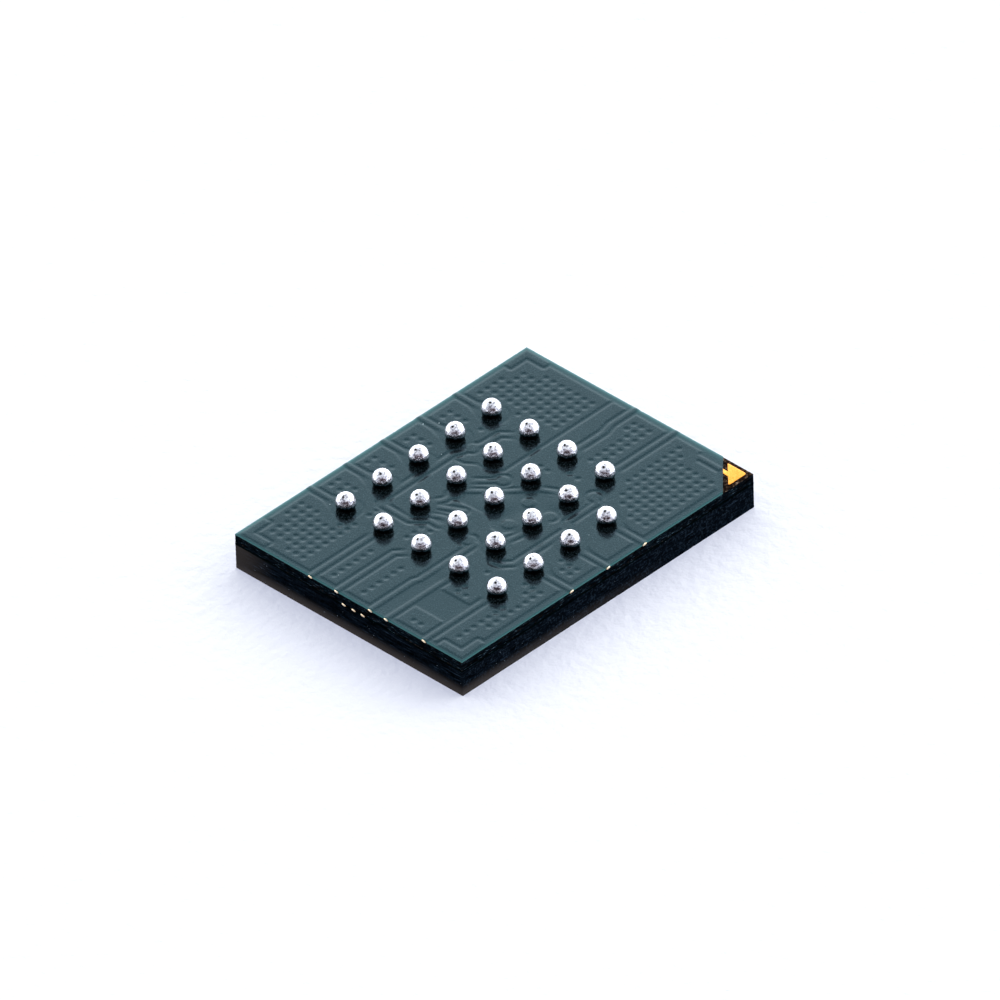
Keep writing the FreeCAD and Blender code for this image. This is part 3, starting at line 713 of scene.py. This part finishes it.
def reflowed_solder():
    """Frozen from the melt: bright metal whose fine grains break its mirror into a frost."""
    material = new_material("reflowed_tin_silver_copper")
    place = add_node(material, "ShaderNodeTexCoord").outputs["Object"]
    grains = add_node(material, "ShaderNodeTexNoise", {
        "Vector": place, "Scale": PER_MM / 0.045, "Detail": 5})
    metal = add_node(material, "ShaderNodeValToRGB", {"Fac": grains}, stops=[
        (0.34, linear("#85838c")), (0.48, linear("#d6d5dc")), (0.66, linear("#f4f3f7"))])
    # Painted reflection of the black film: the colour turns nearly black below a ragged line under
    # the ball's middle.
    height = add_node(material, "ShaderNodeSeparateXYZ", {"Vector": place}).outputs["Z"]
    ragged = add_node(material, "ShaderNodeMath", {0: grains, 1: PAINTED_REFLECTION_RAGGED * MM, 2: height},
                      operation="MULTIPLY_ADD")
    edge = PAINTED_REFLECTION_TOP + PAINTED_REFLECTION_RAGGED / 2
    painted_reflection = add_node(material, "ShaderNodeMapRange", {
        "Value": ragged, "From Min": (edge + PAINTED_REFLECTION_EDGE) * MM,
        "From Max": (edge - PAINTED_REFLECTION_EDGE) * MM})
    with_painted_reflection = add_node(material, "ShaderNodeMix", {
        SHARE: painted_reflection, UNDER: metal, OVER: linear("#080606")}, data_type="RGBA")
    # The pin dents are painted dark: painted shade in their hollows.
    dent_shade = add_node(material, "ShaderNodeAttribute", attribute_name="painted_dent_shade")
    tint = add_node(material, "ShaderNodeMix", {
        SHARE: dent_shade.outputs["Fac"], UNDER: with_painted_reflection, OVER: linear("#0a0606")},
        data_type="RGBA")
    frost = add_node(material, "ShaderNodeTexNoise", {
        "Vector": place, "Scale": PER_MM / 0.04, "Detail": 3})
    haze = add_node(material, "ShaderNodeMapRange", {
        "Value": frost, "From Min": 0.35, "From Max": 0.65, "To Min": 0.08, "To Max": 0.2})
    crystals = add_node(material, "ShaderNodeBump", {"Height": grains, "Distance": 0.01 * MM})
    surface = add_node(material, "ShaderNodeBsdfPrincipled", {
        "Base Color": tint, "Metallic": 1.0, "Roughness": haze, "Normal": crystals})
    add_node(material, "ShaderNodeOutputMaterial", {"Surface": surface})
    return material


solder = reflowed_solder()

# %% Turn one ball
BALL_SEGMENTS = 64
BALL_RINGS = 84


def turn_ball():
    """A ball over the origin, cut flat where it sits on its land."""
    bpy.ops.mesh.primitive_uv_sphere_add(segments=BALL_SEGMENTS, ring_count=BALL_RINGS,
                                         radius=BALL_RADIUS * MM,
                                         location=(0, 0, BALL_MIDDLE * MM))
    ball = bpy.context.object
    freeze(ball)
    bpy.ops.object.mode_set(mode="EDIT")
    bpy.ops.mesh.select_all(action="SELECT")
    bpy.ops.mesh.bisect(plane_co=(0, 0, COPPER_TOP * MM), plane_no=(0, 0, -1),
                        use_fill=True, clear_outer=True, threshold=CLOSE)
    bpy.ops.object.mode_set(mode="OBJECT")
    bpy.ops.object.shade_smooth_by_angle(angle=CRISP_TO)
    return ball


master_ball = turn_ball()
print(len(master_ball.data.vertices), "points in a ball")

# %% Press a pin's tips into a ball
DENTS = 3
DENT_RADIUS = 0.03
DENT_DEPTH = 0.011
DENT_TILT = math.radians(25)
TILT_RANGE = (0.8, 1.15)
DENT_TURN = math.radians(198)
DENT_SPREAD = 0.45
PUSH_RANGE = (-0.8, 0.8)  # below zero a tip doesn't touch
BOWL_POWER = 1.5
# A dent's dark spot is painted shade in its hollow.
DARK_RIM = 4  # a dent is dark but for the last quarter of its radius


def dent(points, centre, chance):
    """Presses the tips of a crown shaped pin into the top of a ball and says where its painted
    shade lies.
    """
    dent_shade = np.zeros(len(points))
    spin = DENT_TURN + chance.uniform(-DENT_SPREAD, DENT_SPREAD)
    tilt = DENT_TILT * chance.uniform(*TILT_RANGE)
    for k in range(DENTS):
        turn = spin + k * 2 * math.pi / DENTS
        push = max(0, chance.uniform(*PUSH_RANGE)) if k else 1
        out = np.array([math.sin(tilt) * math.cos(turn), math.sin(tilt) * math.sin(turn),
                        math.cos(tilt)])
        near = np.linalg.norm(points - centre - out * BALL_RADIUS, axis=1) / DENT_RADIUS
        bowl = push * DENT_DEPTH * np.clip(1 - near ** 2, 0, 1) ** BOWL_POWER
        points -= out * bowl[:, None]
        dent_shade = np.maximum(dent_shade, push * np.clip(DARK_RIM * (1 - near), 0, 1))
    return dent_shade


# %% Copy the ball to every place of the grid
SWELL = 0.025
LUMPS = 0.008
LUMPS_PER_MM = 9
LUMP_STEP = (7, 5)  # gives each ball its own part of the pattern
SKIN_ABOVE = 0.05
ROWS = "edcba"
DENT_SEED = 24


def place_balls(master):
    """Copies the ball, swells each copy above the film, dents it and moves it to its place."""
    chance = random.Random(DENT_SEED)
    centre = np.array([0, 0, BALL_MIDDLE])
    for i, j in BALLS:
        ball = copy_of(master)
        points = points_of(ball.data)
        away = Vector((i * LUMP_STEP[0], j * LUMP_STEP[1], 0))
        lumps = np.array([noise.noise(Vector(p) * LUMPS_PER_MM + away) for p in points])
        free = smooth_step(points[:, 2], FILM_TOP, FILM_TOP + SKIN_ABOVE)
        points += (points - centre) * ((SWELL + LUMPS * lumps) * free)[:, None]
        dent_shade = dent(points, centre, chance)
        ball.data.attributes.new("painted_dent_shade", "FLOAT", "POINT").data.foreach_set("value", dent_shade)
        points[:, :2] += (i, j)
        put_points(ball.data, points)
        node = f"ball_{ROWS[STEPS.index(i)]}{STEPS.index(j) + 1}"
        finish_piece(ball, f"solder_{node}", solder, "solder", node)
    bpy.data.objects.remove(master)


place_balls(master_ball)

# %% [markdown]
# ## Gold plating
# The pin one mark and the copper in the sides are plated with nickel and a thin layer of gold,
# which is a warm satin yellow. A metal gets its look from its base colour and its roughness, so
# two tones in a fine grain are all that it needs. The copper, the die and other pieces inside
# need no more, so one function makes all of these finishes.

# %% Make a two tone finish
def two_tone(name, grain_size, dark, pale, shader, detail=2, flat=1, bump=0):
    """A finish from its grain in millimetres, its tones with their places in the grain, and the
    shader's values. Flat is how many times wider than high the grains are, and bump is how high
    they stand, in millimetres."""
    material = new_material(name)
    place = add_node(material, "ShaderNodeTexCoord").outputs["Object"]
    level_run = add_node(material, "ShaderNodeMapping", {"Vector": place, "Scale": (1, 1, flat)})
    grain = add_node(material, "ShaderNodeTexNoise", {
        "Vector": level_run, "Scale": PER_MM / grain_size, "Detail": detail})
    tint = add_node(material, "ShaderNodeValToRGB", {"Fac": grain}, stops=[
        (where, linear(tone)) for where, tone in (dark, pale)])
    inputs = {"Base Color": tint, **shader}
    if bump:
        inputs["Normal"] = add_node(material, "ShaderNodeBump", {
            "Height": grain, "Distance": bump * MM})
    surface = add_node(material, "ShaderNodeBsdfPrincipled", inputs)
    add_node(material, "ShaderNodeOutputMaterial", {"Surface": surface})
    return material


# Grown in a bath over rolled copper, so it keeps the copper's fine satin grain
gold = two_tone("electroplated_gold", 0.03, (0.3, "#cc8126"), (0.75, "#e9a34a"),
                {"Metallic": 1.0, "Roughness": 0.38}, detail=3, bump=0.002)

# %% [markdown]
# ## Pin one mark
# The mark is a plated triangle with round corners and a short tab that runs under the film to the
# pour. A square plane is cut across with bisect and its corners are rounded. Two more cuts mark
# out the tab's width on the slope, and that edge is drawn out with extrude. The outline could be
# typed in point by point, but cuts and a bevel are quicker to change. Solidify and Bevel give
# the plate its thickness and its soft rim.

# %% Cut the triangle and its tab
MARK_SIDE = 0.5
MARK_ROUNDING = 0.045
PLATE_RIM = 0.009
TAB_END = -2.42


def pin_mark():
    """The flat outline of the mark, on top of the laminate."""
    low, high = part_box("pin_one_mark")
    side = MARK_SIDE * MM
    bpy.ops.mesh.primitive_plane_add(size=side, location=(high.x - side / 2, low.y + side / 2,
                                                          CORE_TOP * MM))
    plate = bpy.context.object
    freeze(plate)
    bpy.ops.object.mode_set(mode="EDIT")
    bpy.ops.mesh.select_all(action="SELECT")
    bpy.ops.mesh.bisect(plane_co=(high.x, low.y + side, 0), plane_no=(-1, 1, 0),
                        clear_outer=True, threshold=CLOSE)
    bpy.ops.mesh.select_all(action="SELECT")
    bpy.ops.mesh.bevel(affect="VERTICES", offset=MARK_ROUNDING * MM, segments=6)
    for x, _ in NECK[:2]:
        bpy.ops.mesh.select_all(action="SELECT")
        bpy.ops.mesh.bisect(plane_co=(x * MM, 0, 0), plane_no=(1, 0, 0), threshold=CLOSE)
    draw_tab(plate)
    bpy.ops.object.mode_set(mode="OBJECT")
    return plate


def draw_tab(plate):
    """Draws the tab out from the stretch of the slope that lies between its two cuts."""
    bpy.ops.mesh.select_all(action="DESELECT")
    bpy.ops.mesh.select_mode(type="EDGE")
    form = bmesh.from_edit_mesh(plate.data)
    left, right = NECK[0][0] * MM, NECK[1][0] * MM
    strip = [edge for edge in form.edges
             if abs(edge.verts[0].co.x + edge.verts[1].co.x - left - right) < CLOSE
             and abs(edge.verts[0].co.x - edge.verts[1].co.x) > CLOSE]
    slope = max(strip, key=lambda edge: edge.verts[0].co.y + edge.verts[1].co.y)
    slope.select = True
    bmesh.update_edit_mesh(plate.data)
    bpy.ops.mesh.extrude_edges_move()
    form = bmesh.from_edit_mesh(plate.data)
    for vertex in form.verts:
        if vertex.select:
            vertex.co.y = TAB_END * MM
    bmesh.update_edit_mesh(plate.data)


def plate_up(flat):
    """Gives a flat outline the copper's thickness and a soft rim."""
    thick = flat.modifiers.new("thickness", "SOLIDIFY")
    thick.thickness = (COPPER_TOP - CORE_TOP) * MM
    thick.offset = 1
    bpy.ops.object.modifier_apply(modifier=thick.name)
    soft = flat.modifiers.new("rim", "BEVEL")
    soft.width = PLATE_RIM * MM
    soft.segments = 3
    bpy.ops.object.modifier_apply(modifier=soft.name)
    bpy.ops.object.shade_smooth_by_angle(angle=ROUND_TO)


mark = pin_mark()
plate_up(mark)
finish_piece(mark, "plated_pin_one_mark", gold, "copper", "pin_one_mark")

# %% [markdown]
# ## Cut ends of the plating stubs
# Every trace runs on to the edge, where the saw smears its soft gold a little. A flat patch of
# gold would show only from one side. So the smear is a small flattened bead over the end of each
# stub, which catches the light from above.

# %% Make the cut ends' finish, with a painted highlight
# The cut ends are painted paler and brighter than the plating: a painted highlight
highlight_gold = two_tone("cut_gold_painted_highlight", 0.02, (0.3, "#f5c98f"), (0.6, "#fff3d8"),
                      {"Metallic": 1.0, "Roughness": 0.3}, bump=0.002)

# %% Smear the cut ends
END_WIDTH = 0.105
END_HEIGHT = 0.044
END_BULGE = 0.012
END_FACETS = 16
END_LIFT = 0.25
DISH_DEPTH = 0.5
DISH_WIDTH = 0.2
FAR_SHARE = 0.55
FRONT_ENDS = [(-1, -HALF_Y), (0, -HALF_Y), (1, -HALF_Y)]
LEFT_ENDS = [(-HALF_X, y) for y in (1, 0.31, -0.58, -1, -2)]
BACK_ENDS = [(i, HALF_Y) for i in STEPS]
RIGHT_ENDS = [(HALF_X, 0.07), (HALF_X, -1)]
TAIL_ENDS = [(-HALF_X, y) for y in (0.12, -0.14, -0.38)]


def smeared_end():
    """One bead with its back on the side's face, drawn out along the saw's way and dished."""
    bpy.ops.mesh.primitive_uv_sphere_add(segments=END_FACETS, ring_count=END_FACETS, radius=0.5)
    bead = bpy.context.object
    bead.scale = (END_WIDTH * MM, 2 * END_BULGE * MM, END_HEIGHT * MM)
    freeze(bead)
    points = points_of(bead.data)
    reach = points[:, 0] / END_WIDTH
    points[:, 2] += END_LIFT * END_HEIGHT * reach
    points[:, 1] *= 1 - DISH_DEPTH * np.exp(-(reach / DISH_WIDTH) ** 2) * (points[:, 1] < 0)
    put_points(bead.data, points)
    bpy.ops.object.shade_smooth()
    return bead


def smear_end(master, place, height, name, share=1):
    """Copies the bead to an end. Where the blade left the panel it smeared only a share."""
    bead = copy_of(master)
    on_side = abs(place[0]) == HALF_X
    turn = math.copysign(math.pi / 2, -place[0]) if on_side else (place[1] > 0) * math.pi
    bead.data.transform(Matrix.Translation((place[0] * MM, place[1] * MM, height * MM))
                        @ Matrix.Rotation(turn, 4, "Z") @ Matrix.Diagonal((1, share, share, 1)))
    return finish_piece(bead, name, highlight_gold, "copper")


master_end = smeared_end()
stub_height = (CORE_TOP + COPPER_TOP) / 2
tail_height = CORE_BOTTOM - (COPPER_TOP - CORE_TOP) / 2
for k, place in enumerate(FRONT_ENDS + LEFT_ENDS, start=1):
    smear_end(master_end, place, stub_height, f"stub_end_{k:02d}")
for k, place in enumerate(BACK_ENDS + RIGHT_ENDS, start=1):
    smear_end(master_end, place, stub_height, f"far_stub_end_{k}", FAR_SHARE)
for k, place in enumerate(TAIL_ENDS, start=1):
    smear_end(master_end, place, tail_height, f"tail_end_{k}")
bpy.data.objects.remove(master_end)

# %% [markdown]
# ## The nodes that keep their CAD shape
# Copper, vias, the die, its film, the wires and the thin mask on the moulded side have the right
# shape already. They could be modelled again, but that would only risk their fit. Each gets the
# finish of its real material.

# %% Make the inner pieces' finishes
# Rolled between steel rollers, so it is a warm satin metal with duller patches
copper = two_tone("rolled_copper", 0.05, (0.3, "#a85f35"), (0.7, "#d98f5a"),
                  {"Metallic": 1.0, "Roughness": 0.35})
# Ground and polished, so it is a grey mirror with a faint haze
silicon = two_tone("polished_silicon", 0.5, (0.3, "#3a3d44"), (0.7, "#4c515a"),
                   {"Metallic": 0.6, "Roughness": 0.2})
# A glue full of silver flakes, pressed out to a film that is pale and dull
die_glue = two_tone("die_attach_epoxy", 0.1, (0.3, "#8d8a80"), (0.7, "#a7a398"),
                    {"Roughness": 0.6})
# Printed and cured as on the ball side, but seen only where the saw cut it, black with streaks
cut_mask = two_tone("die_side_solder_mask", 0.2, (0.35, "#000101"), (0.7, "#020b0b"),
                    {"Roughness": 0.4, "Specular IOR Level": 0.0}, flat=6)

# %% Finish the inner pieces
FINISHES = {
    "signal_copper": gold, "copper_pours": copper, "corner_marks": copper,
    "die_side_copper": gold, "core_vias": copper, "bond_wires": gold,
    "silicon_die": silicon, "die_attach_film": die_glue, "die_side_mask": cut_mask,
}
for name, finish in FINISHES.items():
    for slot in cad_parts[name].material_slots:
        slot.material = finish
print(len(FINISHES), "nodes keep their CAD shape")

# %% [markdown]
# ## Floor
# The chip lies on a sheet of white paper. A plain white plane would do, but close to such a
# small thing paper shows its fibres, so they are drawn at their real size.

# %% Lay the floor
FLOOR_SIZE = 4
PAPER = (0.52, 0.50, 0.46, 1)
PAPER_DYE = (0.27, 0.30, 0.43, 1)


def white_paper():
    """Pressed fibres, dull and softly uneven. Bright paper holds a dye that gives off a little
    blue light, so its shadows are bluish."""
    material = new_material("white_paper")
    place = add_node(material, "ShaderNodeTexCoord").outputs["Object"]
    fibre = add_node(material, "ShaderNodeTexNoise", {
        "Vector": place, "Scale": PER_MM / 0.25, "Detail": 4})
    rough = add_node(material, "ShaderNodeBump", {"Height": fibre, "Distance": 0.035 * MM})
    surface = add_node(material, "ShaderNodeBsdfPrincipled", {
        "Base Color": PAPER, "Roughness": 0.9, "Specular IOR Level": 0.0,
        "Emission Color": PAPER_DYE, "Emission Strength": 1.0, "Normal": rough})
    add_node(material, "ShaderNodeOutputMaterial", {"Surface": surface})
    return material


bpy.ops.mesh.primitive_plane_add(size=FLOOR_SIZE)
floor = bpy.context.object
floor.name = "paper_floor"
floor.data.materials.append(white_paper())
print("The floor is", FLOOR_SIZE, "m wide")

# %% [markdown]
# ## Light
# The chip stands in a tent of white cloth, open towards the camera. Lamps could light it, but
# the balls would mirror each lamp as a hard spot. The world's own light has no edges. It is
# white all round and fades to black about the camera, which darkens the near side of each ball.
# Its wall, low down on the far side and both sides, is brightest. The mask mirrors that wall.

# %% Name the light
AZIMUTH = math.radians(-45)
OPENING_RISE = 0.2
OPENING_WIDTH = 0.35
# The cloth's colour, from far off (0) to the middle of the opening (1)
CLOTH = [(0.18, (1.0, 1.06, 1.10, 1)), (0.45, (0.95, 1.0, 1.06, 1)),
         (0.8, (0.94, 0.99, 1.07, 1)), (0.90, (0.80, 0.83, 0.93, 1)),
         (0.945, (0.40, 0.37, 0.43, 1)), (0.97, (0.09, 0.06, 0.065, 1)),
         (1.0, (0.05, 0.03, 0.035, 1))]
# The wall's light, by height from level (0) to straight up (1)
WALL = [(0.2, (2.0, 2.0, 2.0, 1)), (0.58, (1.12, 1.12, 1.12, 1)), (0.62, WHITE), (0.88, BLACK)]
WALL_LIGHT = 1.7
WALL_FROM, WALL_TO = 0.45, -0.1
SIDE_LIGHT = 0.27

# %% Light the tent
def light_tent():
    tent = bpy.data.worlds.new("white_tent")
    bpy.context.scene.world = tent
    tent.use_nodes = True
    tent.node_tree.nodes.clear()
    way = add_node(tent, "ShaderNodeTexCoord").outputs["Generated"]
    to_opening = Vector((math.sin(AZIMUTH), -math.cos(AZIMUTH), OPENING_RISE)).normalized()
    to_right = Vector((math.cos(AZIMUTH), math.sin(AZIMUTH), 0))
    near = add_node(tent, "ShaderNodeVectorMath", {0: way, 1: to_opening},
                    operation="DOT_PRODUCT").outputs["Value"]
    aside = add_node(tent, "ShaderNodeVectorMath", {0: way, 1: to_right},
                     operation="DOT_PRODUCT").outputs["Value"]
    sideways = add_node(tent, "ShaderNodeMath", {0: aside, 1: aside}, operation="MULTIPLY")
    opening = add_node(tent, "ShaderNodeMath", {0: sideways, 1: OPENING_WIDTH, 2: near},
                       operation="MULTIPLY_ADD")
    into_opening = add_node(tent, "ShaderNodeMapRange", {
        "Value": opening, "From Min": -1, "From Max": 1})
    cloth = add_node(tent, "ShaderNodeValToRGB", {"Fac": into_opening}, stops=CLOTH)

    height = add_node(tent, "ShaderNodeSeparateXYZ", {"Vector": way}).outputs["Z"]
    low = add_node(tent, "ShaderNodeValToRGB", {"Fac": height}, stops=WALL)
    away = add_node(tent, "ShaderNodeMapRange", {
        "Value": near, "From Min": WALL_FROM, "From Max": WALL_TO},
        interpolation_type="SMOOTHSTEP")
    wall = add_node(tent, "ShaderNodeMath", {0: low, 1: away}, operation="MULTIPLY")
    walled = add_node(tent, "ShaderNodeMath", {0: wall, 1: WALL_LIGHT, 2: 1.0},
                      operation="MULTIPLY_ADD")
    brighter_right = add_node(tent, "ShaderNodeMapRange", {
        "Value": aside, "From Min": -1, "From Max": 1,
        "To Min": 1 - SIDE_LIGHT, "To Max": 1 + SIDE_LIGHT})
    strength = add_node(tent, "ShaderNodeMath", {0: brighter_right, 1: walled},
                        operation="MULTIPLY")
    light = add_node(tent, "ShaderNodeBackground", {"Color": cloth, "Strength": strength})
    add_node(tent, "ShaderNodeOutputWorld", {"Surface": light})
    print("The tent opens towards", [round(v, 2) for v in to_opening])


light_tent()

# %% [markdown]
# ## Camera
# Small parts are photographed from far off with a very long lens, which draws them nearly
# without perspective. The camera could be placed by eye, but then no ball would lie over the
# photograph's. These values come from fitting the grid of balls to the photograph.

# %% Aim the camera
ELEVATION = math.radians(37)
ROLL = math.radians(-1.75)
DISTANCE = 544.7
FOCAL_PIXELS = 28622
IMAGE_PIXELS = 1000
CHIP_MIDDLE = Vector((0, 0, 0.4))
MIDDLE_IN_IMAGE = (-5.04, 20.66)
SENSOR_WIDTH = 36
NEAREST_SEEN, FARTHEST_SEEN = 0.01, 10


def aim_camera():
    back = Vector((math.sin(AZIMUTH) * math.cos(ELEVATION),
                   -math.cos(AZIMUTH) * math.cos(ELEVATION), math.sin(ELEVATION)))
    level_right = Vector((math.cos(AZIMUTH), math.sin(AZIMUTH), 0))
    level_up = back.cross(level_right)
    right = math.cos(ROLL) * level_right + math.sin(ROLL) * level_up
    up = math.cos(ROLL) * level_up - math.sin(ROLL) * level_right
    off_right, off_down = (pixels * DISTANCE / FOCAL_PIXELS for pixels in MIDDLE_IN_IMAGE)
    place = CHIP_MIDDLE + back * DISTANCE - right * off_right + up * off_down
    lens = bpy.data.cameras.new("close_up")
    camera = bpy.data.objects.new("close_up", lens)
    bpy.context.scene.collection.objects.link(camera)
    camera.matrix_world = Matrix.Translation(place * MM) @ Matrix(
        (right, up, back)).transposed().to_4x4()
    lens.sensor_width = SENSOR_WIDTH
    lens.lens = SENSOR_WIDTH * FOCAL_PIXELS / IMAGE_PIXELS
    lens.clip_start, lens.clip_end = NEAREST_SEEN, FARTHEST_SEEN
    bpy.context.scene.camera = camera
    print("The camera stands at", [round(v, 4) for v in camera.matrix_world.translation], "m")


aim_camera()
bpy.context.scene.view_settings.view_transform = "Standard"
